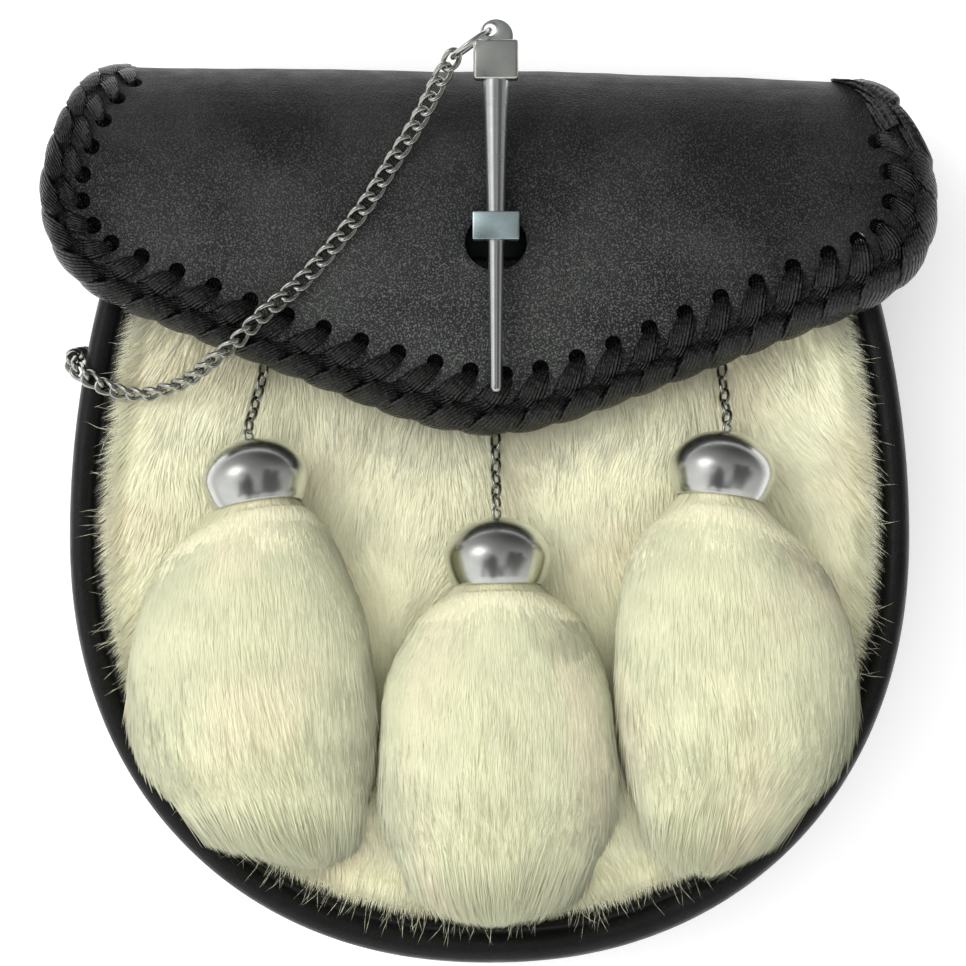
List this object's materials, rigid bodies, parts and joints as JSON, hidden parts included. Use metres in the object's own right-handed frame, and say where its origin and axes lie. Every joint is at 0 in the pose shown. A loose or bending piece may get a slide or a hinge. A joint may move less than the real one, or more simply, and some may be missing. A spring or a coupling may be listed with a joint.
{
  "type": "sporran pouch",
  "caption": "Rounded black leather belt pouch with a fur front, a laced flap shut by a pin clasp on a chain, and fur tassels hanging from chromed bell caps.",
  "frame": {"origin": "on the surface that the pouch lies on, under the middle of its bounding box", "axes": "+Z out of the pouch's front, +Y towards its top, where the flap folds over, +X to the right seen from the front"},
  "size_m": [0.2036, 0.214, 0.0738],
  "materials": {
    "black_leather": "smooth black leather with a fine grain and a soft sheen",
    "laced_leather": "black leather lace, lightly waxed, with fine ribs along it",
    "cream_fur": "dense short cream fur",
    "chrome": "bright polished chrome plate"
  },
  "bodies": {
    "root": {"back_panel": "black_leather", "gusset": "black_leather", "front_panel": "black_leather", "front_rim": "black_leather", "fur_front": "cream_fur", "flap": "black_leather", "flap_lacing": "laced_leather", "belt_loop_left": "black_leather", "belt_loop_right": "black_leather", "clasp_staple": "chrome", "clasp_pin": "chrome", "pin_ring": "chrome", "pin_chain": "chrome", "chain_anchor": "chrome", "tassel_anchor_left": "chrome", "tassel_chain_left": "chrome", "tassel_bell_left": "chrome", "tassel_fur_left": "cream_fur", "tassel_anchor_centre": "chrome", "tassel_chain_centre": "chrome", "tassel_bell_centre": "chrome", "tassel_fur_centre": "cream_fur", "tassel_anchor_right": "chrome", "tassel_chain_right": "chrome", "tassel_bell_right": "chrome", "tassel_fur_right": "cream_fur"}
  },
  "joints": []
}
